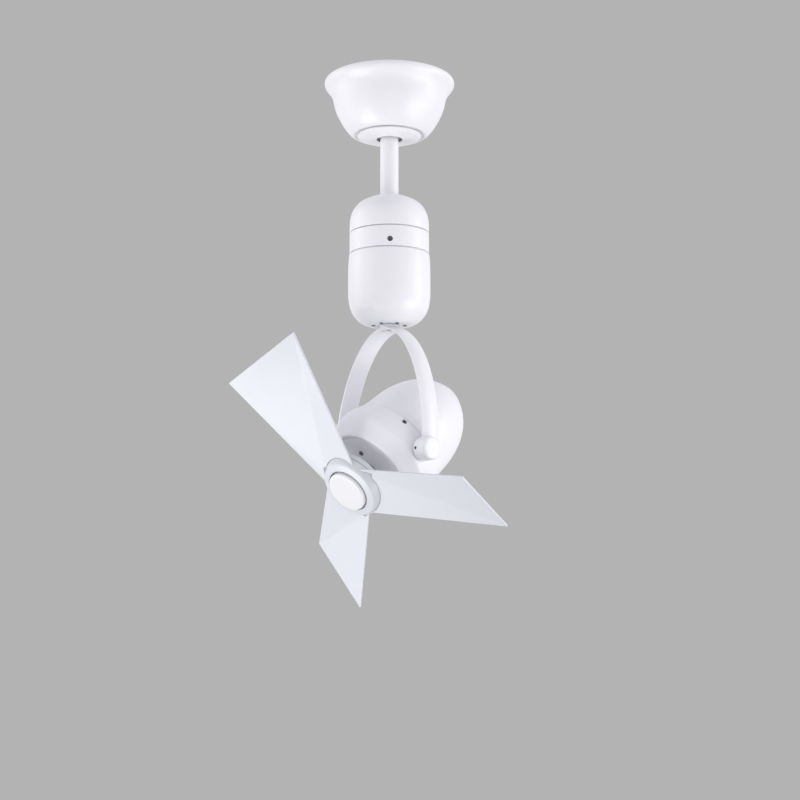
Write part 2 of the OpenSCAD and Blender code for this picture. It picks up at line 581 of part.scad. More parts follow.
// sloping face from the blade roots up to the raised ring
ring_side = [[hub_r - 0.5, 69.6], [hub_r, 70.3], [hub_r, 71.4],
  [37, 73.2], [35.6, 76.4], [34.4, 79], [33.2, 80.4]];
module hub_ring() color([0.93, 0.93, 0.95]) head_frame() difference() {
  rotate_extrude() polygon(concat([[4.05, 69.6]], ring_side,
    [[26.4, 82.4], [25.6, 82], [25.6, 74], [4.05, 74]]));
  for (k = [0, 1, 2], y = [-6.5, 6.5]) rotate(blade_a0 + 120 * k)
    translate([18, y, 60]) cylinder(r = 1.75, h = 20, $fn = 20);
}
module hub_cap() color([0.95, 0.95, 0.96]) head_frame() rotate_extrude()
  polygon([[0, 86.1], [21.2, 86.1], [22.8, 85.6], [23.7, 84.7],
    [cap_r, 83.4], [cap_r, 74.05], [22.4, 74.05], [22.4, 82.8],
    [0, 82.8]]);
module hub_nut() color([0.66, 0.66, 0.68]) head_frame()
  translate([0, 0, 74.05]) difference() {
    cylinder(r = 7.5, h = 5, $fn = 6);
    translate([0, 0, -1]) cylinder(r = 4.05, h = 8, $fn = 48);
  }

// blade corners: x along, y across, z forward
bA = [blade_tip + 0.3, -47.1, 39.6];
bB = [blade_tip - 0.6, 47.2, 83.2];
bC = [43, 18.3, 70.3];
bQ = [25.5, 29.3, 77.6];
bP = [19, -29.1, 77.3];
// height of the narrow facet, and its root edge round the hub ring
bn = cross(bC - bA, bP - bA);
function on(x, y) =
  bA[2] - (bn[0] * (x - bA[0]) + bn[1] * (y - bA[1])) / bn[2];
br = hub_r + 0.8;
bR = [for (a = [11.8, -0.6, -13, -25.5, -38, -50.4])
  [br * cos(a), br * sin(a), on(br * cos(a), br * sin(a))]];
blade_top = concat([bA, bB, bQ, bC], bR);
blade_low = [for (p = blade_top) p - [0, 0, blade_t]];
bk = len(blade_top);
module blade() difference() {
  union() {
    polyhedron(points = concat(blade_top, blade_low),
      faces = concat([for (i = [1 : bk - 2]) [0, i + 1, i]],
        [for (i = [1 : bk - 2]) [bk, bk + i, bk + i + 1]],
        [for (i = [0 : bk - 1]) [i, (i + 1) % bk, bk + (i + 1) % bk]],
        [for (i = [0 : bk - 1]) [i, bk + (i + 1) % bk, bk + i]]));
    translate([0, 0, 66.45]) linear_extrude(3.1)
      polygon([[12.5, -10], [30, -16], [46, -19], [46.5, 0],
        [45.5, 12], [30, 15], [12.5, 10]]);
  }
  for (y = [-6.5, 6.5]) translate([18, y, 60])
    cylinder(r = 1.75, h = 20, $fn = 20);
}
module blade_at(k) color([0.9, 0.92, 0.96]) head_frame()
  rotate(blade_a0 + 120 * k) blade();
module blade_1() blade_at(0);
module blade_2() blade_at(2);
module blade_3() blade_at(1);
module blade_screws() color([0.55, 0.55, 0.57]) head_frame()
  for (k = [0, 1, 2], y = [-6.5, 6.5]) rotate(blade_a0 + 120 * k)
    translate([18, y, 74]) screw(1.65, 12.2, 2.9, 1.8);

hanger_bracket();
canopy();
canopy_posts();
canopy_screws();
canopy_ring();
terminal_block();
hanger_ball();
ball_pin();
downrod();
rod_coupling();
coupling_pin();
frame_screws();
upper_cap();
middle_band();
band_screws();
drive_frame();
lower_cup();
cup_screws();
bearing_housing();
pan_motor();
upper_bearing_outer();
lower_bearing_outer();
brush_block();
pan_pinion();
output_shaft();
pan_gear();
upper_bearing_inner();
lower_bearing_inner();
slip_ring();
retaining_ring();
yoke();
yoke_screws();
pivot_screws();
front_housing();
rear_dome();
housing_screws();
bearing_cover();
cover_screws();
motor_screws();
tilt_bolts();
tilt_nuts();
friction_washers();
front_bracket();
rear_bracket();
stator_core();
windings();
front_bearing_outer();
rear_bearing_outer();
motor_shaft();
rotor_core();
front_bearing_inner();
rear_bearing_inner();
hub_flange();
hub_ring();
hub_cap();
hub_nut();
blade_1();
blade_2();
blade_3();
blade_screws();
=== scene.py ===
import json
import math

import bmesh
import bpy
from mathutils import Matrix, Vector


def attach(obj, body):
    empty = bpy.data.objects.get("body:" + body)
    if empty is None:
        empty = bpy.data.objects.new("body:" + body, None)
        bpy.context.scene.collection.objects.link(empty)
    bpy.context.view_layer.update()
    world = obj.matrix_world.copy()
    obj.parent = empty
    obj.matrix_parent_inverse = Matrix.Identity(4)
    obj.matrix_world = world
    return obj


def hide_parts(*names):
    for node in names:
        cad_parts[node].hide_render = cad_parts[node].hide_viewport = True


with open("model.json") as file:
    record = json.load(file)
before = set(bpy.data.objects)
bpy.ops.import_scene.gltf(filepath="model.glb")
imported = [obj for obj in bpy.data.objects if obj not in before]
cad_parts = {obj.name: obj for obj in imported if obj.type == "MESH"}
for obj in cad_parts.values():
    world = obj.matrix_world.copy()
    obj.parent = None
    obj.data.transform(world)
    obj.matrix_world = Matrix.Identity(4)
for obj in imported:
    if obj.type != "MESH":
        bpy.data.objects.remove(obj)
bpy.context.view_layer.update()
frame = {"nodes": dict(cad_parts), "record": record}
NODES = frame["nodes"]
MM = 0.001

# ------------------------------------------------------------------ camera
# rod axis at (389, 240) in an 800 x 800 frame, seen from 47.5 degrees to
# the right of the head's front and a little below
AZ = math.radians(47.5)
EL = math.radians(14.1)
FOCAL = 1700.0
K = 1.16
LOOK_Z = -191.2
far = FOCAL * K * MM
cam_data = bpy.data.cameras.new("Camera")
cam = bpy.data.objects.new("Camera", cam_data)
bpy.context.scene.collection.objects.link(cam)
cam.location = Vector((far * math.cos(EL) * math.sin(AZ),
                       -far * math.cos(EL) * math.cos(AZ),
                       -far * math.sin(EL) + LOOK_Z * MM))
cam.rotation_euler = (math.radians(90 + 8.724), 0, AZ - math.radians(0.37))
cam_data.sensor_width = 36.0
cam_data.lens = FOCAL / 800.0 * 36.0
cam_data.clip_start = 0.05
cam_data.clip_end = 100
bpy.context.scene.camera = cam

RIGHT = Vector((math.cos(AZ), math.sin(AZ), 0))
NEAR = Vector((math.sin(AZ), -math.cos(AZ), 0))
UP = Vector((0, 0, 1))


# --------------------------------------------------------------- materials
class Nodes:
    """A small helper that builds one node tree."""

    def __init__(self, mat):
        mat.use_nodes = True
        self.t = mat.node_tree
        self.b = self.t.nodes["Principled BSDF"]

    def add(self, kind, **kw):
        n = self.t.nodes.new(kind)
        for k, v in kw.items():
            if isinstance(v, bpy.types.NodeSocket):
                self.t.links.new(v, n.inputs[k.replace("_", " ")])
            elif hasattr(n, k):
                setattr(n, k, v)
            else:
                n.inputs[k.replace("_", " ")].default_value = v
        return n

    def link(self, a, b):
        self.t.links.new(a, b)

    def coords(self):
        return self.t.nodes.new("ShaderNodeTexCoord").outputs["Object"]

    def noise(self, co, scale, detail=2.0, rough=0.5):
        n = self.t.nodes.new("ShaderNodeTexNoise")
        n.inputs["Scale"].default_value = scale
        n.inputs["Detail"].default_value = detail
        n.inputs["Roughness"].default_value = rough
        self.link(co, n.inputs["Vector"])
        return n.outputs["Fac"]

    def ramp(self, fac, lo, hi, a, b):
        n = self.t.nodes.new("ShaderNodeMapRange")
        n.inputs["From Min"].default_value = lo
        n.inputs["From Max"].default_value = hi
        n.inputs["To Min"].default_value = a
        n.inputs["To Max"].default_value = b
        self.link(fac, n.inputs["Value"])
        return n.outputs["Result"]

    def mix(self, fac, a, b):
        n = self.t.nodes.new("ShaderNodeMix")
        n.data_type = "RGBA"
        n.inputs["A"].default_value = (*a, 1)
        n.inputs["B"].default_value = (*b, 1)
        self.link(fac, n.inputs["Factor"])
        return n.outputs["Result"]

    def bump(self, height, strength, distance, normal=None):
        n = self.t.nodes.new("ShaderNodeBump")
        n.inputs["Strength"].default_value = strength
        n.inputs["Distance"].default_value = distance
        self.link(height, n.inputs["Height"])
        if normal is not None:
            self.link(normal, n.inputs["Normal"])
        return n.outputs["Normal"]


def painted(name, col, dust, rough=(0.30, 0.40), coat=0.25, peel=0.12,
            spec=0.5):
    """Sprayed paint: orange peel, a faint uneven gloss and a trace of dust
    in the broad tone."""
    m = bpy.data.materials.new(name)
    n = Nodes(m)
    co = n.coords()
    broad = n.noise(co, 14, 3, 0.55)
    fine = n.noise(co, 620, 2, 0.5)
    speck = n.noise(co, 2600, 1, 0.5)
    n.link(n.mix(n.ramp(broad, 0.35, 0.7, 0, 1), col, dust),
           n.b.inputs["Base Color"])
    n.link(n.ramp(broad, 0.3, 0.7, rough[0], rough[1]),
           n.b.inputs["Roughness"])
    nb = n.bump(fine, peel, 0.0004)
    nb = n.bump(speck, peel * 0.5, 0.0001, nb)
    n.link(nb, n.b.inputs["Normal"])
    n.b.inputs["Coat Weight"].default_value = coat
    n.b.inputs["Coat Roughness"].default_value = 0.18
    n.b.inputs["Specular IOR Level"].default_value = spec
    return m


def metal(name, col, dark, rough=(0.22, 0.42), grain=(1, 1, 1), scale=400,
          strength=0.12):
    """Bare or plated metal with grain along one axis and stains."""
    m = bpy.data.materials.new(name)
    n = Nodes(m)
    co = n.coords()
    mp = n.t.nodes.new("ShaderNodeMapping")
    mp.inputs["Scale"].default_value = grain
    n.link(co, mp.inputs["Vector"])
    g = n.noise(mp.outputs["Vector"], scale, 4, 0.6)
    stain = n.noise(co, 45, 4, 0.6)
    n.link(n.mix(n.ramp(stain, 0.35, 0.75, 0, 1), col, dark),
           n.b.inputs["Base Color"])
    n.link(n.ramp(g, 0.3, 0.7, rough[0], rough[1]),
           n.b.inputs["Roughness"])
    n.link(n.bump(g, strength, 0.0003), n.b.inputs["Normal"])
    n.b.inputs["Metallic"].default_value = 1.0
    return m


def plastic(name, col, alt, rough=(0.45, 0.6), scale=900, strength=0.15):
    """Moulded plastic with a fine spark-eroded texture."""
    m = bpy.data.materials.new(name)
    n = Nodes(m)
    co = n.coords()
    g = n.noise(co, scale, 3, 0.6)
    broad = n.noise(co, 30, 2, 0.5)
    n.link(n.mix(n.ramp(broad, 0.3, 0.7, 0, 1), col, alt),
           n.b.inputs["Base Color"])
    n.link(n.ramp(g, 0.3, 0.7, rough[0], rough[1]),
           n.b.inputs["Roughness"])
    n.link(n.bump(g, strength, 0.0002), n.b.inputs["Normal"])
    return m


def laminated(name):
    m = metal(name, (0.30, 0.31, 0.33), (0.20, 0.20, 0.22))
    n = Nodes(m)
    w = n.t.nodes.new("ShaderNodeTexWave")
    w.inputs["Scale"].default_value = 320
    w.inputs["Distortion"].default_value = 0.4
    n.link(n.coords(), w.inputs["Vector"])
    n.link(n.bump(w.outputs["Fac"], 0.4, 0.0004), n.b.inputs["Normal"])
    return m


def wound(name):
    """Enamelled copper wire laid in rows."""
    m = bpy.data.materials.new(name)
    n = Nodes(m)
    co = n.coords()
    w = n.t.nodes.new("ShaderNodeTexWave")
    w.inputs["Scale"].default_value = 380
    w.inputs["Distortion"].default_value = 1.5
    w.inputs["Detail"].default_value = 2
    n.link(co, w.inputs["Vector"])
    n.link(n.mix(w.outputs["Fac"], (0.28, 0.09, 0.03), (0.55, 0.24, 0.09)),
           n.b.inputs["Base Color"])
    n.link(n.bump(w.outputs["Fac"], 0.5, 0.0004), n.b.inputs["Normal"])
    n.b.inputs["Roughness"].default_value = 0.32
    n.b.inputs["Metallic"].default_value = 0.6
    return m


WHITE = painted("white_paint", (0.86, 0.86, 0.875), (0.835, 0.835, 0.855))
# the hub paint below is a darker bluish copy of the white paint: painted shade for the hub clamp and ring, which
# sit in shadow
HUB_SHADE = painted("hub_painted_shade", (0.64, 0.66, 0.69), (0.62, 0.64, 0.67))
# the cap paint below is the white paint darkened: painted shade for the hub cap
CAP_SHADE = painted("cap_painted_shade", (0.755, 0.757, 0.765), (0.735, 0.737, 0.748))
# the blade paint below is the blades' bluish tone, darkened further as painted shade
BLADE_TONE_AND_SHADE = painted("blade_paint", (0.675, 0.69, 0.722), (0.66, 0.675, 0.71),
                rough=(0.34, 0.44), coat=0.15, peel=0.08)
STEEL = metal("steel", (0.55, 0.56, 0.58), (0.42, 0.43, 0.45),
              grain=(1, 1, 12))
BRIGHT = metal("bright_steel", (0.72, 0.73, 0.75), (0.6, 0.61, 0.63),
               rough=(0.1, 0.2), strength=0.04)
ZINC = metal("zinc", (0.62, 0.64, 0.64), (0.50, 0.52, 0.50),
             rough=(0.35, 0.55), scale=160, strength=0.1)
CAST = metal("cast_metal", (0.56, 0.57, 0.59), (0.46, 0.47, 0.49),
             rough=(0.45, 0.65), scale=700, strength=0.35)
BRASS = metal("brass", (0.72, 0.53, 0.22), (0.55, 0.39, 0.16),
              rough=(0.22, 0.4))
DARK = metal("dark_screw", (0.20, 0.20, 0.205), (0.12, 0.12, 0.125),
             rough=(0.3, 0.5), scale=900)
BLACK = plastic("black_plastic", (0.035, 0.035, 0.038),
                (0.05, 0.05, 0.052))
CREAM = plastic("cream_plastic", (0.72, 0.69, 0.60), (0.66, 0.63, 0.55))
LAMS = laminated("lamination")
COPPER = wound("copper_wire")
SLOTS = {"white_paint": WHITE, "blade_paint": BLADE_TONE_AND_SHADE, "steel": STEEL,
         "bright_steel": BRIGHT, "zinc": ZINC, "cast_metal": CAST,
         "brass": BRASS, "dark_screw": DARK, "black_plastic": BLACK,
         "cream_plastic": CREAM, "lamination": LAMS,
         "copper_wire": COPPER}

slot_of = {s["node"]: s["material_slot"]
           for s in frame["record"]["subparts"]}
body_of = {}
for body, names in frame["record"]["behaviour"]["bodies"].items():
    for nm in names:
        body_of[nm] = body
for nm, ob in NODES.items():
    mat = SLOTS[slot_of[nm]]
    if not ob.material_slots:
        ob.data.materials.append(mat)
    for s in ob.material_slots:
        s.material = mat

# machined edges on the CAD nodes that stay in sight
for nm in ("hanger_bracket", "terminal_block", "canopy_posts",
           "canopy_screws", "output_shaft", "tilt_bolts", "motor_shaft", "rod_coupling", "hub_nut", "pivot_screws"):
    ob = NODES[nm]
    w = ob.modifiers.new("weld", "WELD")
    w.merge_threshold = 2e-6
    b = ob.modifiers.new("edge", "BEVEL")
    b.width = 0.00025
    b.segments = 2
    b.limit_method = "ANGLE"
    b.angle_limit = math.radians(40)
    b.harden_normals = False


# ------------------------------------------------------------ mesh helpers
def finish_piece(name, bm, mat, nodes, body, sharp=35):
    bmesh.ops.remove_doubles(bm, verts=bm.verts, dist=1e-7)
    bmesh.ops.recalc_face_normals(bm, faces=bm.faces)
    me = bpy.data.meshes.new(name)
    bm.to_mesh(me)
    bm.free()
    for p in me.polygons:
        p.use_smooth = True
    me.set_sharp_from_angle(angle=math.radians(sharp))
    ob = bpy.data.objects.new(name, me)
    bpy.context.scene.collection.objects.link(ob)
    me.materials.append(mat)
    if nodes:
        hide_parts(*nodes)
    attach(ob, body)
    return ob


def soften(points, closed=True, steps=5):
    """A profile from corner points. Each is (r, z) for a smooth bend or
    (r, z, radius) for a corner rounded by that radius, 0 for sharp."""
    out = []
    n = len(points)
    for i, p in enumerate(points):
        b = Vector(p[:2])
        if not closed and i in (0, n - 1):
            out.append(b)
            continue
        a = Vector(points[i - 1][:2])
        c = Vector(points[(i + 1) % n][:2])
        la, lc = (a - b).length, (c - b).length
        if len(p) == 3:
            if p[2] == 0:
                out.append(b)
                continue
            u, v = (a - b) / la, (c - b) / lc
            ang = u.angle(v)
            cut = min(p[2] / max(math.tan(ang / 2), 1e-6),
                      la * 0.48, lc * 0.48)
            s, e = b + u * cut, b + v * cut
        else:
            s, e = (a + b) / 2, (b + c) / 2
        for k in range(steps + 1):
            t = k / steps
            out.append(s * (1 - t) ** 2 + b * 2 * t * (1 - t) + e * t * t)
    tidy = []
    for p in out:
        if not tidy or (p - tidy[-1]).length > 1e-4:
            tidy.append(p)
    return tidy


def lathe(name, points, mat, nodes, body, place=Matrix.Identity(4),
          seg=160, closed=True, sharp=35, steps=5):
    """Turns a profile in mm about local Z."""
    prof = soften(points, closed, steps)
    bm = bmesh.new()
    rows = []
    for p in prof:
        r, z = max(p.x, 0) * MM, p.y * MM
        if r < 1e-7:
            rows.append([bm.verts.new(place @ Vector((0, 0, z)))])
        else:
            rows.append([bm.verts.new(place @ Vector(
                (r * math.cos(2 * math.pi * k / seg),
                 r * math.sin(2 * math.pi * k / seg), z)))
                for k in range(seg)])
    last = len(rows) if closed else len(rows) - 1
    for i in range(last):
        a, b = rows[i], rows[(i + 1) % len(rows)]
        if len(a) == 1 and len(b) == 1:
            continue
        for k in range(seg):
            q = (k + 1) % seg
            if len(a) == 1:
                bm.faces.new((a[0], b[k], b[q]))
            elif len(b) == 1:
                bm.faces.new((a[k], b[0], a[q]))
            else:
                bm.faces.new((a[k], b[k], b[q], a[q]))
    return finish_piece(name, bm, mat, nodes, body, sharp)


def carve(ob, cutters):
    """Cuts the cutters out of ob and bakes the result into its mesh."""
    for c in cutters:
        m = ob.modifiers.new("cut", "BOOLEAN")
        m.operation = "DIFFERENCE"
        m.solver = "EXACT"
        m.object = c
    dg = bpy.context.evaluated_depsgraph_get()
    me = bpy.data.meshes.new_from_object(ob.evaluated_get(dg))
    ob.modifiers.clear()
    ob.data = me
    me.set_sharp_from_angle(angle=math.radians(35))
    for c in cutters:
        bpy.data.objects.remove(c, do_unlink=True)
    return ob


def raw(name, bm):
    bmesh.ops.recalc_face_normals(bm, faces=bm.faces)
    me = bpy.data.meshes.new(name)
    bm.to_mesh(me)
    bm.free()
    ob = bpy.data.objects.new(name, me)
    bpy.context.scene.collection.objects.link(ob)
    return ob


def rod_cutter(place, r, z0, z1, seg=48):
    bm = bmesh.new()
    m = place @ Matrix.Translation((0, 0, (z0 + z1) / 2 * MM))
    bmesh.ops.create_cone(bm, cap_ends=True, segments=seg,
                          radius1=r * MM, radius2=r * MM,
                          depth=(z1 - z0) * MM, matrix=m)
    return raw("cutter", bm)


def screw_set(name, places, rs, length, rh, hh, mat, nodes, body):
    """Pan head screws with a cross recess. Head up local +Z from z = 0."""
    prof = soften([(0, hh, 0), (rh * 0.45, hh * 0.97), (rh * 0.82, hh * 0.8),
                   (rh, hh * 0.36), (rh, 0, 0.12), (rs, 0, 0.1),
                   (rs, -length + rs * 0.5, 0.1), (rs * 0.4, -length, 0.1),
                   (0, -length, 0)], False, 4)
    bm = bmesh.new()
    seg = 40
    rows = []
    for p in prof:
        r, z = max(p.x, 0) * MM, p.y * MM
        rows.append([bm.verts.new((0, 0, z))] if r < 1e-7 else
                    [bm.verts.new((r * math.cos(2 * math.pi * k / seg),
                                   r * math.sin(2 * math.pi * k / seg), z))
                     for k in range(seg)])
    for a, b in zip(rows, rows[1:]):
        for k in range(seg):
            q = (k + 1) % seg
            if len(a) == 1:
                bm.faces.new((a[0], b[k], b[q]))
            elif len(b) == 1:
                bm.faces.new((a[k], b[0], a[q]))
            else:
                bm.faces.new((a[k], b[k], b[q], a[q]))
    proto = raw("proto", bm)
    cuts = []
    for turn in (0, 90):
        cb = bmesh.new()
        w, l = rh * 0.13, rh * 0.62
        top, bot = hh * 1.3, hh * 0.25
        vs = []
        for z, f in ((bot, 0.45), (top, 1.25)):
            for sx, sy in ((-1, -1), (1, -1), (1, 1), (-1, 1)):
                vs.append(cb.verts.new((sx * l * f * MM, sy * w * f * MM
                                        if f > 1 else sy * w * MM,
                                        z * MM)))
        for f in ((3, 2, 1, 0), (4, 5, 6, 7), (0, 1, 5, 4), (1, 2, 6, 5),
                  (2, 3, 7, 6), (3, 0, 4, 7)):
            cb.faces.new([vs[i] for i in f])
        bmesh.ops.transform(cb, verts=cb.verts,
                            matrix=Matrix.Rotation(math.radians(turn), 4,
                                                   "Z"))
        cuts.append(raw("cutter", cb))
    carve(proto, cuts)
    bm = bmesh.new()
    for i, pl in enumerate(places):
        one = bmesh.new()
        one.from_mesh(proto.data)
        spin = Matrix.Rotation(0.7 * i + 0.35, 4, "Z")
        bmesh.ops.transform(one, verts=one.verts, matrix=pl @ spin)
        tmp = bpy.data.meshes.new("tmp")
        one.to_mesh(tmp)
        one.free()
        bm.from_mesh(tmp)
        bpy.data.meshes.remove(tmp)
    bpy.data.objects.remove(proto, do_unlink=True)
    return finish_piece(name, bm, mat, nodes, body, 35)


def axis_place(origin, direction, roll=0.0):
    """A frame at origin (mm) whose local Z runs along direction."""
    z = Vector(direction).normalized()
    q = Vector((0, 0, 1)).rotation_difference(z)
    return (Matrix.Translation(Vector(origin) * MM)
            @ q.to_matrix().to_4x4() @ Matrix.Rotation(roll, 4, "Z"))


# ---------------------------------------------------------- ceiling pieces
lathe("canopy_cup", [
    (70, 0, 0.3), (73.4, -0.35), (75.2, -1.8), (75.95, -4.4),
    (75.7, -6.4), (74.6, -8.6), (72.6, -11.1), (70.3, -14),
    (68.3, -17.1), (66.9, -20.2), (65.9, -23.6), (65.1, -27.4),
    (64.2, -31.4), (63.2, -35), (61.9, -38.6), (60.4, -42.1),
    (58.6, -45.7), (56.6, -49.4), (54.4, -53.1), (52, -56.8),
    (49.4, -60.3), (46.6, -63.4), (43.9, -65.5), (42.5, -66.35, 0.5),
    (41.4, -66.4, 0.4), (40.2, -65.8), (39.5, -65.05, 0.3),
    (23, -65, 0.3), (23, -63.2, 0.3), (42.4, -63.2), (45.2, -62.2),
    (47.8, -59.4), (50.4, -55.8), (52.8, -52), (55, -48.4),
    (57, -44.6), (58.8, -41), (60.2, -37.6), (61.4, -34.2),
    (62.4, -30.8), (63.2, -26.8), (64, -23), (65.2, -19.2),
    (66.8, -15.8), (68.8, -12.8), (71.1, -9.8), (73, -7.2),
    (74, -5), (73.9, -3.2), (72.8, -2.2), (70, -1.8, 0.3)],
    WHITE, ["canopy"], "ceiling_side", seg=200)
lathe("canopy_trim", [
    (14.9, -70.25, 0.2), (14.9, -71.3, 0.3), (15.6, -71.65, 0.3),
    (22, -71.65), (27, -71.25), (31, -70.55), (34.2, -69.45),
    (36.4, -68.3), (37.35, -67.45, 0.2), (37.1, -66.95, 0.2),
    (36.2, -67.1), (35.3, -67.6, 0.3), (35.3, -65.1, 0.1),
    (34.1, -65.1, 0.1), (34.1, -68.2), (31, -69.2), (27, -69.9),
    (22, -70.2)],
    WHITE, ["canopy_ring"], "ceiling_side", seg=160)

# ------------------------------------------------------ rod and capsule
lathe("rod_tube", [
    (10.63, -30.05, 0.4), (10.63, -161.9, 0.4), (9.2, -161.9, 0.3),
    (9.2, -30.05, 0.3)], WHITE, ["downrod"], "hanging_drive", seg=96)
lathe("capsule_top", [
    (10.85, -138.75, 0.15), (13.4, -139.2), (18.3, -140.9),
    (22.4, -142.4), (26.4, -144), (30.6, -146), (34.3, -148.3),
    (37.1, -150.7), (39.4, -153.4), (41.5, -156.5), (43.2, -159.8),
    (44.4, -163.4), (45.15, -167.2), (45.6, -171.2), (45.85, -175.4),
    (45.88, -183.4, 0.35), (44.9, -183.5, 0.2), (43.7, -183.5, 0.2),
    (43.6, -173.6), (43.2, -169), (42.4, -165), (41.2, -161),
    (39.5, -157.8), (37.4, -154.8), (35, -152), (32.2, -149.8),
    (29.6, -148.2), (25.4, -146.2), (21.4, -144.6), (17.4, -143.2),
    (12.6, -141.6), (10.85, -141.2, 0.3)],
    WHITE, ["upper_cap"], "hanging_drive", seg=192)
band = lathe("capsule_band", [
    (43.4, -184.8, 0.1), (45.2, -184.8, 0.2), (45.88, -185.0, 0.35),
    (45.88, -208.3, 0.35), (45.2, -208.4, 0.2), (44, -208.4, 0.2),
    (44, -210.2, 0.2), (44.8, -211, 0.2), (44.8, -217.95, 0.4),
    (42.4, -217.95, 0.4), (42.4, -174.05, 0.4), (43.4, -174.05, 0.4)],
    WHITE, ["middle_band"], "hanging_drive", seg=192)
SCREW_AZ = [math.radians(-41.4 + a) for a in (0, 120, 240)]
cuts = []
for a in SCREW_AZ:
    d = Vector((math.cos(a), math.sin(a), 0))
    pl = axis_place((0, 0, -200.8), d)
    cuts.append(rod_cutter(pl, 1.9, 40, 50))
    cuts.append(rod_cutter(pl, 3.2, 44.4, 50))
carve(band, cuts)
screw_set("band_screw_heads",
          [axis_place(Vector((0, 0, -200.8)) + Vector(
              (math.cos(a), math.sin(a), 0)) * 44.4,
              (math.cos(a), math.sin(a), 0)) for a in SCREW_AZ],
          1.7, 5.2, 3.0, 1.4, DARK, ["band_screws"], "hanging_drive")
cup = lathe("capsule_cup", [
    (45, -209.75, 0.2), (45.7, -209.75, 0.3), (46.3, -210.3, 0.5),
    (46.7, -214), (47.05, -219), (47.25, -225), (47.38, -236),
    (47.38, -250), (47.2, -258), (46.75, -263.6), (45.9, -268.4),
    (44.7, -272.8), (43, -276.9), (41, -280.3), (38.8, -283.2),
    (36.1, -285.9), (33, -288.3), (29.6, -290.2), (26.1, -291.4),
    (22, -291.8, 1.5), (9.2, -291.8, 0.4), (9.2, -287.8, 0.3),
    (24, -287.8, 2), (28.2, -287.4), (31.4, -286), (34.6, -283.8),
    (37, -281.4), (39, -278.8), (41, -275.4), (42.5, -271.6),
    (43.6, -267.6), (44.4, -263), (44.9, -257), (45, -248)],
    WHITE, ["lower_cup"], "hanging_drive", seg=192)
CUP_AZ = [math.radians(a - 72) for a in range(0, 360, 60)]
screw_set("cup_screw_heads",
          [axis_place((18 * math.cos(a), 18 * math.sin(a), -291.8),
                      (0, 0, -1)) for a in CUP_AZ],
          1.5, 7.4, 2.3, 1.0, DARK, ["cup_screws"], "hanging_drive")

# -------------------------------------------------------------------- yoke
HALF, WIDE, TOP_Z, DROP, LEAN = 73.7, 25.7, -295.4, 140.1, 3.0
TILT = math.radians(38.3)
HEAD = (Matrix.Translation(Vector((0, 2.7, -435.5)) * MM)
        @ Matrix.Rotation(math.radians(90 + 38.3), 4, "X"))
AX_Y = 2.7 - 4 * math.sin(TILT) - 14.4 * math.cos(TILT)
AX_Z = -435.5 + 4 * math.cos(TILT) - 14.4 * math.sin(TILT)
ARCH = (Matrix.Translation((0, 2.2 * MM, TOP_Z * MM))
        @ Matrix.Rotation(math.radians(90 - LEAN), 4, "X"))


def arch_point(t):
    k = max(0.0, 1 - (1 - t) ** 1.88)
    return HALF * k ** (1 / 1.94), -DROP * t


def strip():
    """The bent strip: a bar with a flat inner face and a crowned outer
    one, swept along the arch."""
    half = []
    steps = 64
    for i in range(steps + 1):
        t = (i / steps) ** 2.2
        half.append(arch_point(t))
    # straight on below the pivot level, to the end of the arm
    end = -(DROP + 5.0)
    half.append((HALF, end))
    line = [(-x, y) for x, y in half[:0:-1]] + half
    line = [Vector(p) for p in line]
    # even out the spacing
    dist = [0.0]
    for a, b in zip(line, line[1:]):
        dist.append(dist[-1] + (b - a).length)
    total, count = dist[-1], 150
    pts = []
    j = 0
    for i in range(count + 1):
        s = total * i / count
        while j < len(dist) - 2 and dist[j + 1] < s:
            j += 1
        f = (s - dist[j]) / (dist[j + 1] - dist[j])
        pts.append(line[j].lerp(line[j + 1], f))
    # smooth the crown
    for _ in range(6):
        pts = ([pts[0]] + [(pts[i - 1] + pts[i] * 2 + pts[i + 1]) / 4
                           for i in range(1, len(pts) - 1)] + [pts[-1]])
    w, c = WIDE / 2, 1.1
    sec = []
    # the crowned outer face, then the flat inner one
    for sx, a0 in ((1, 0), (-1, 90)):
        for k in range(6):
            a = math.radians(a0 + 18 * k)
            sec.append((sx * (w - 0.8) + 0.8 * math.cos(a),
                        -0.9 + 0.8 * math.sin(a)))
        if sx == 1:
            for k in range(1, 20):
                u = (w - 0.8) * (1 - k / 10)
                sec.append((u, 3.2 - 3.3 * abs(u / (w - 0.8)) ** 2.3))
    for sx, a0 in ((-1, 180), (1, 270)):
        for k in range(6):
            a = math.radians(a0 + 18 * k)
            sec.append((sx * (w - c) + c * math.cos(a),
                        -1.9 + c + c * math.sin(a)))
    bm = bmesh.new()
    rows = []
    arc = [total * i / count for i in range(count + 1)]
    for i, p in enumerate(pts):
        a, b = pts[max(i - 1, 0)], pts[min(i + 1, count)]
        d = (b - a).normalized()
        nrm = Vector((-d.y, d.x))
        # the last stretch of each arm narrows to a round end
        e = min(arc[i], total - arc[i])
        f = 1.0
        if e < WIDE / 2:
            k = 1 - e / (WIDE / 2)
            f = math.sqrt(max(1 - k * k, 0.0025))
        rows.append([bm.verts.new(ARCH @ Vector(
            ((p.x + nrm.x * v) * MM, (p.y + nrm.y * v) * MM,
             u * f * MM))) for u, v in sec])
    m = len(sec)
    for a, b in zip(rows, rows[1:]):
        for k in range(m):
            q = (k + 1) % m
            bm.faces.new((a[k], a[q], b[q], b[k]))
    bm.faces.new(rows[0])
    bm.faces.new(rows[-1][::-1])
    return finish_piece("yoke_strip", bm, WHITE, ["yoke"],
                        "turning_yoke", 40)


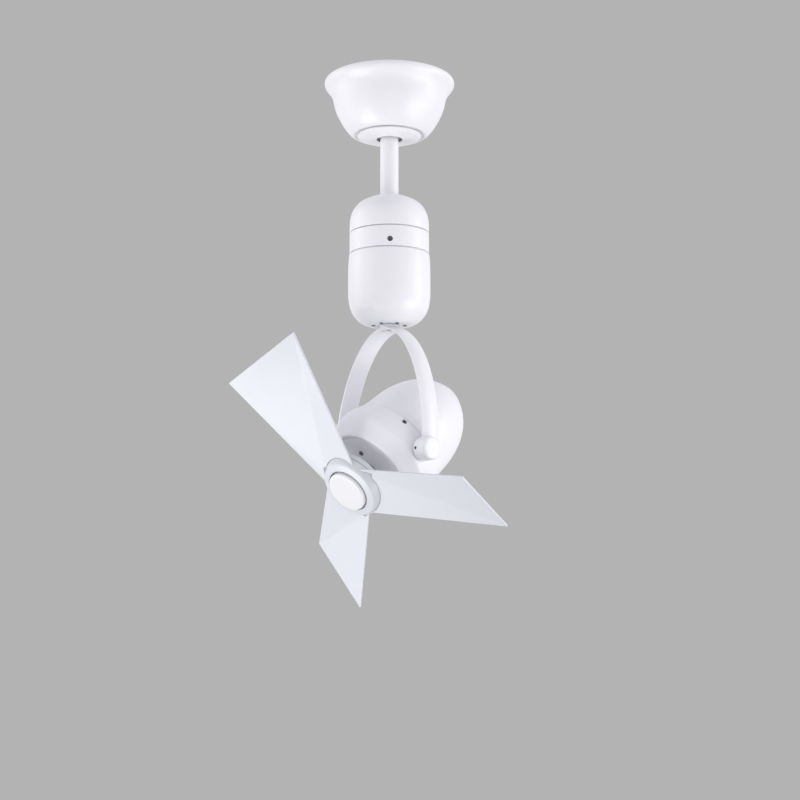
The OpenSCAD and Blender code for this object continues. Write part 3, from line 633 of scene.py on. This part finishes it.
arch = strip()
YS = [(6.6 * math.cos(math.radians(a)), 6.6 * math.sin(math.radians(a)))
      for a in (90, 210, 330)]
cuts = [rod_cutter(Matrix.Identity(4), 3.6, -320, -290)]
for x, y in YS:
    at = Matrix.Translation((x * MM, y * MM, 0))
    cuts.append(rod_cutter(at, 2.8, -320, -296.4))
    cuts.append(rod_cutter(at, 1.75, -298, -290))
carve(arch, cuts)
lathe("yoke_pad", [
    (10.65, -292.2, 0.1), (11.3, -292.2, 0.3), (11.3, -296.9, 0.3),
    (3.6, -296.3, 0.2), (3.6, -293.55, 0.2), (10.65, -293.55, 0.1)],
    WHITE, ["yoke"], "turning_yoke", seg=96)
for side in (-1, 1):
    pl = axis_place((0, AX_Y, AX_Z), (side, 0, 0))
    lug = lathe("pivot_barrel_" + ("left" if side < 0 else "right"), [
        (0, 79.75, 0), (4.05, 79.75, 0.2), (4.05, 63.85, 0.2),
        (10.6, 63.85, 0.8), (12.4, 64.5), (13.25, 66.2), (13.38, 69),
        (13.38, 78.6), (12.9, 81.2), (11.2, 82.8), (7, 83.35),
        (0, 83.38, 0)], WHITE, ["yoke"], "turning_yoke", pl, seg=96,
        closed=False)
    hole = axis_place((side * 69, AX_Y, AX_Z), (0, -1, 0))
    carve(lug, [rod_cutter(hole, 1.85, 2, 20, 32)])
screw_set("yoke_screw_heads",
          [axis_place((x, y, -296.4), (0, 0, -1)) for x, y in YS],
          1.5, 8, 2.6, 1.6, WHITE, ["yoke_screws"], "turning_yoke")

# -------------------------------------------------------------------- head
lathe("head_dome", [
    (0, -118.4, 0), (5, -117.8), (10, -116), (14.7, -113.4),
    (19.4, -109.9), (24, -106), (28.3, -102), (32.6, -97.5),
    (36.7, -92.8), (40.5, -87.8), (43.9, -82.6), (47, -76.6),
    (49.7, -70.2), (51.9, -63.6), (53.7, -56.8), (55.1, -50),
    (56, -43), (56.6, -36), (57, -29), (57.5, -21.5), (58.3, -14),
    (59.5, -7.5), (60.8, -2, 1.2), (60.9, -0.35, 0.4),
    (59.5, -0.35, 0.1), (59.5, 9.9, 0.3), (57.7, 9.9, 0.3),
    (57.2, -4), (55.9, -14), (54.8, -29), (54.2, -40), (53, -50),
    (50.8, -60.2), (48, -68.6), (45, -76), (41.2, -82.6),
    (36.6, -89), (31.2, -95.4), (25, -101.6), (18, -107.4),
    (9.4, -113.2), (0, -115.8, 0)], WHITE, ["rear_dome"], "motor_head",
    HEAD, seg=192, closed=False)
shell = lathe("head_front", [
    (59.7, 0.35, 0.1), (61.2, 0.35, 0.3), (62.1, 1.1, 0.6), (63.1, 5),
    (63.8, 9.5), (64.18, 14), (64.15, 18.6), (63.85, 22.6),
    (63.2, 26), (62.2, 28.7), (60.5, 31.2), (57.9, 34.7),
    (55.2, 38.6), (52.9, 42.3), (51.2, 44.8), (49.8, 46.1),
    (48.4, 46.0), (47.2, 45.1), (46.3, 44.1), (45.58, 43.3, 0.2),
    (45.58, 40.45, 0.2), (43.6, 40.4), (43.2, 35), (41, 30),
    (38, 25), (34.8, 21.6), (31, 20.02), (13.05, 20.02, 0.2),
    (13.05, 12, 0.2), (11, 12, 0.1), (11, 9, 0.2), (16, 9, 0.3),
    (16, 17, 0.5), (32, 17), (36.6, 18.6), (40.6, 22.4), (44, 27.6),
    (46.8, 33.6), (48.8, 39), (50.2, 41.4), (52.8, 37.2), (55, 33.6),
    (57.2, 30), (59, 26.8), (60.4, 23.8), (61.4, 20), (61.7, 14),
    (61.4, 10.2, 0.2), (59.7, 10.2, 0.1)], WHITE, ["front_housing"],
    "motor_head", HEAD, seg=192)
SIDE_A = [math.radians(35 + a) for a in (0, 120, 240)]
cuts = []
for a in SIDE_A:
    pl = HEAD @ axis_place((0, 0, 5.8), (math.cos(a), math.sin(a), 0))
    cuts.append(rod_cutter(pl, 1.75, 56, 70))
    cuts.append(rod_cutter(pl, 3.0, 61.6, 70))
MOUNT_A = [math.radians(62.5 + a) for a in (0, 90, 180, 270)]
for a in MOUNT_A:
    pl = HEAD @ axis_place((26.6 * math.cos(a), 26.6 * math.sin(a), 0),
                           (0, 0, 1))
    cuts.append(rod_cutter(pl, 2.1, 15, 23))
for side in (-1, 1):
    # each barrel stands in a shallow round pocket
    pl = axis_place((0, AX_Y, AX_Z), (side, 0, 0))
    cuts.append(rod_cutter(pl, 13.7, 63, 73, 128))
    cuts.append(rod_cutter(pl, 4.05, 50, 73))
carve(shell, cuts)
screw_set("head_side_screws",
          [HEAD @ axis_place((61.6 * math.cos(a), 61.6 * math.sin(a), 5.8),
                             (math.cos(a), math.sin(a), 0))
           for a in SIDE_A], 1.5, 5, 2.8, 1.3, DARK,
          ["housing_screws"], "motor_head")
screw_set("head_mount_screws",
          [HEAD @ axis_place((26.6 * math.cos(a), 26.6 * math.sin(a),
                              20.05), (0, 0, 1)) for a in MOUNT_A],
          2, 7, 3.2, 1.9, DARK, ["motor_screws"], "motor_head")
COVER_A = [math.radians(89 + a) for a in (0, 180)]
dish = lathe("head_bearing_cover", [
    (7.2, 38.45, 0.2), (7.2, 39.95, 0.3), (24, 39.95), (29, 40.15),
    (33, 40.65), (37, 41.4), (41, 42.45), (44, 43.3), (45.3, 43.55, 0.3),
    (45.45, 41.3, 0.2), (44, 41.1), (41, 40.6), (37, 39.7), (33, 39),
    (29, 38.6), (24, 38.45)], WHITE, ["bearing_cover"], "motor_head", HEAD, seg=192)
cuts = []
for a in COVER_A:
    pl = HEAD @ axis_place((22.3 * math.cos(a), 22.3 * math.sin(a), 0),
                           (0, 0, 1))
    cuts.append(rod_cutter(pl, 1.7, 35, 43))
    cuts.append(rod_cutter(pl, 3.0, 39.8, 43))
carve(dish, cuts)
screw_set("head_cover_screws",
          [HEAD @ axis_place((22.3 * math.cos(a), 22.3 * math.sin(a),
                              39.8), (0, 0, 1)) for a in COVER_A],
          1.5, 8, 2.8, 1.6, DARK, ["cover_screws"], "motor_head")

# --------------------------------------------------------------------- hub
# the clamp wears the hub paint, a painted shade on a white part
clamp = lathe("hub_clamp", [
    (4.05, 61.5, 0.1), (5.06, 61.5, 0.1), (5.06, 55.05, 0.2),
    (11.8, 55.05, 0.5), (13, 58.2), (20, 61.6, 3), (36.6, 62.2, 1.5),
    (37.95, 63.6, 0.8), (37.95, 69.35, 0.4), (36, 69.35, 0.3),
    (36, 66.35, 0.1), (4.05, 66.35, 0.2)],
    HUB_SHADE, ["hub_flange"], "rotor", HEAD, seg=144)


def slab(outline, z0, z1, turn):
    """A cutter: a flat outline in the rotor's plane, raised z0 to z1."""
    bm = bmesh.new()
    up = [bm.verts.new((x * MM, y * MM, z1 * MM)) for x, y in outline]
    dn = [bm.verts.new((x * MM, y * MM, z0 * MM)) for x, y in outline]
    bm.faces.new(up)
    bm.faces.new(dn[::-1])
    for i in range(len(outline)):
        j = (i + 1) % len(outline)
        bm.faces.new((up[i], dn[i], dn[j], up[j]))
    bmesh.ops.transform(bm, verts=bm.verts,
                        matrix=HEAD @ Matrix.Rotation(turn, 4, "Z"))
    return raw("cutter", bm)


# the rim stops either side of each blade tab
carve(clamp, [slab([(10, -10.6), (30, -16.6), (50, -20.4), (50, 11.8),
                    (30, 15.6), (10, 10.6)], 66.4, 72,
                   math.radians(105.6 + 120 * k)) for k in range(3)])
RING_SIDE = [(37.4, 69.65), (37.85, 70.4), (37.85, 71.3), (37, 73.2),
             (35.7, 76.2), (34.6, 78.7), (33.2, 80.35)]
# the boss wears the same hub paint, a painted shade on a white part
lathe("hub_boss", [
    (4.05, 69.65, 0.2), (37.4, 69.65, 0.3), (37.85, 70.4, 0.3),
    (37.85, 71.3), (37, 73.2), (35.7, 76.2), (34.6, 78.7),
    (33.4, 80.3, 0.9), (26.8, 82.3, 0.5), (25.65, 81.9, 0.4),
    (25.65, 74, 0.3), (4.05, 74, 0.2)],
    HUB_SHADE, ["hub_ring"], "rotor", HEAD, seg=176)
# the cap wears the cap paint, a painted shade on a white part
lathe("hub_disc", [
    (0, 86.05, 0), (14, 86.05), (20.4, 86.0), (22.5, 85.6, 1.0),
    (23.6, 84.7, 0.8), (23.98, 83.2, 0.6), (23.98, 74.1, 0.2),
    (22.4, 74.1, 0.2), (22.4, 82.8, 0.8), (0, 82.8, 0)], CAP_SHADE,
    ["hub_cap"], "rotor", HEAD, seg=144, closed=False)

# blade corners in the blade's own frame: along, across, forward
TIP_A = Vector((174.8, -47.1, 39.6))
TIP_B = Vector((173.9, 47.2, 83.2))
FOLD = Vector((43, 18.3, 70.3))
ROOT_Q = Vector((19.7, 28.6, 77.4))
ROOT_P = Vector((19, -29.1, 77.3))
BT = 2.2


def turned(points, seg=144):
    """A cutter turned about the motor axis, from axis to axis."""
    bm = bmesh.new()
    rows = []
    for r, z in points:
        rows.append([bm.verts.new(HEAD @ Vector((0, 0, z * MM)))]
                    if r == 0 else
                    [bm.verts.new(HEAD @ Vector((
                        r * MM * math.cos(2 * math.pi * k / seg),
                        r * MM * math.sin(2 * math.pi * k / seg),
                        z * MM))) for k in range(seg)])
    for a, b in zip(rows, rows[1:]):
        for k in range(seg):
            q = (k + 1) % seg
            if len(a) == 1:
                bm.faces.new((a[0], b[k], b[q]))
            elif len(b) == 1:
                bm.faces.new((a[k], b[0], a[q]))
            else:
                bm.faces.new((a[k], b[k], b[q], a[q]))
    return raw("cutter", bm)


def blade(name, node, turn):
    """Two flat facets with a crisp fold from the hub to the tip corner,
    thin rounded edges and a tab under the hub."""
    a0, b0, c0, q0, p0 = TIP_A, TIP_B, FOLD, ROOT_Q, ROOT_P
    # fold line carried on under the hub
    inner = c0 + (c0 - a0).normalized() * 9
    # slightly rounded tip corners
    def corner(p, x, y, r=1.6, k=4):
        u, v = (x - p).normalized(), (y - p).normalized()
        s, e = p + u * r, p + v * r
        return [s * (1 - t) ** 2 + p * 2 * t * (1 - t) + e * t * t
                for t in [i / k for i in range(k + 1)]]
    tipb = corner(b0, a0, q0)
    tipa = corner(a0, p0, b0)
    ring = tipa + tipb + [q0, inner, p0]
    bm = bmesh.new()
    top = [bm.verts.new(v) for v in ring]
    low = [bm.verts.new(v - Vector((0, 0, BT))) for v in ring]
    n = len(ring)
    ia, iq, ii, ip = 2, n - 3, n - 2, n - 1
    # big facet: tip corner fold point .. tip b .. root q .. inner
    big = list(range(ia, iq + 1)) + [ii]
    small = [ii, ip] + list(range(0, ia + 1))
    for loop in (big, small):
        bm.faces.new([top[i] for i in loop])
        bm.faces.new([low[i] for i in reversed(loop)])
    for i in range(n):
        j = (i + 1) % n
        bm.faces.new((top[i], low[i], low[j], top[j]))
    for v in bm.verts:
        v.co *= MM
    bmesh.ops.recalc_face_normals(bm, faces=bm.faces)
    rim = [e for e in bm.edges
           if e.calc_face_angle(0) > math.radians(50)]
    bmesh.ops.bevel(bm, geom=rim, offset=0.6 * MM, segments=3,
                    profile=0.6, affect="EDGES", clamp_overlap=True)
    bmesh.ops.transform(bm, verts=bm.verts, matrix=HEAD
                        @ Matrix.Rotation(turn, 4, "Z"))
    # the blade paint carries painted shade on top of the blades' bluish tone
    ob = finish_piece(name, bm, BLADE_TONE_AND_SHADE, [node], "rotor", 25)
    # the root stops just short of the hub ring
    room = ([(0, 50), (38.1, 50)] + [(r + 0.7, z) for r, z in RING_SIDE]
            + [(33.3, 84), (0, 84)])
    carve(ob, [turned(room)])
    # the tab between clamp and ring that carries the screws
    tab = bmesh.new()
    out = [(12.5, -10), (30, -16), (46, -19), (46.4, 0), (45.4, 12),
           (30, 15), (12.5, 10)]
    up = [tab.verts.new((x * MM, y * MM, 69.5 * MM)) for x, y in out]
    dn = [tab.verts.new((x * MM, y * MM, 66.5 * MM)) for x, y in out]
    tab.faces.new(up)
    tab.faces.new(dn[::-1])
    for i in range(len(out)):
        j = (i + 1) % len(out)
        tab.faces.new((up[i], dn[i], dn[j], up[j]))
    bmesh.ops.transform(tab, verts=tab.verts, matrix=HEAD
                        @ Matrix.Rotation(turn, 4, "Z"))
    finish_piece(name + "_tab", tab, BLADE_TONE_AND_SHADE, [node], "rotor", 25)
    return ob


A0 = 105.6
blade("fan_blade_1", "blade_1", math.radians(A0))
blade("fan_blade_2", "blade_2", math.radians(A0 + 240))
blade("fan_blade_3", "blade_3", math.radians(A0 + 120))

# ------------------------------------------------------- stage and lights
bm = bmesh.new()
bmesh.ops.create_circle(bm, cap_ends=True, segments=96, radius=6.0)
floor = raw("floor", bm)
floor.location = (0, 0, -1.75)
fm = bpy.data.materials.new("floor_pale")
fn = Nodes(fm)
fco = fn.coords()
fn.link(fn.mix(fn.noise(fco, 3, 3), (0.62, 0.62, 0.62),
               (0.60, 0.60, 0.60)), fn.b.inputs["Base Color"])
fn.b.inputs["Roughness"].default_value = 0.8
floor.data.materials.append(fm)

world = bpy.data.worlds.new("studio")
bpy.context.scene.world = world
world.use_nodes = True
wt = world.node_tree
bg = wt.nodes["Background"]
bg.inputs["Color"].default_value = (0.94, 0.932, 0.995, 1)
bg.inputs["Strength"].default_value = 0.82
seen = wt.nodes.new("ShaderNodeBackground")
seen.inputs["Color"].default_value = (0.451, 0.451, 0.451, 1)
seen.inputs["Strength"].default_value = 1.0
lp = wt.nodes.new("ShaderNodeLightPath")
mx = wt.nodes.new("ShaderNodeMixShader")
wt.links.new(lp.outputs["Is Camera Ray"], mx.inputs["Fac"])
wt.links.new(bg.outputs["Background"], mx.inputs[1])
wt.links.new(seen.outputs["Background"], mx.inputs[2])
wt.links.new(mx.outputs["Shader"],
             wt.nodes["World Output"].inputs["Surface"])


def softbox(name, where, aim, size, power, col=(1, 1, 1)):
    d = bpy.data.lights.new(name, "AREA")
    d.shape = "RECTANGLE"
    d.size, d.size_y = size
    d.energy = power
    d.color = col
    o = bpy.data.objects.new(name, d)
    o.location = where
    o.rotation_euler = (Vector(aim) - Vector(where)).to_track_quat(
        "-Z", "Y").to_euler()
    bpy.context.scene.collection.objects.link(o)
    return o


MID = Vector((0, 0, -0.32))
softbox("key", MID + RIGHT * 2.2 + NEAR * 0.75 + UP * 0.3, MID,
        (1.6, 2.4), 5, (1.0, 0.995, 0.99))
softbox("right_low", MID + RIGHT * 1.8 + NEAR * 0.8 - UP * 1.2, MID,
        (1.4, 1.4), 19, (1.0, 0.995, 0.99))
softbox("right", MID + RIGHT * 2.4 + NEAR * 0.1, MID, (1.0, 1.8), 10)
softbox("left", MID - RIGHT * 2.0 + NEAR * 0.9, MID, (1.4, 1.4), 3)
softbox("under", MID + NEAR * 0.7 - UP * 1.4 - RIGHT * 0.2, MID,
        (1.6, 1.6), 3)
softbox("low_left", MID - RIGHT * 0.8 + NEAR * 0.3 - UP * 0.7,
        MID - UP * 0.2, (0.7, 0.7), 5.2)
softbox("rim_left", MID - RIGHT * 1.6 - NEAR * 0.2 + UP * 0.2, MID,
        (0.8, 1.8), 3.7)
bpy.context.scene.view_settings.view_transform = "Standard"
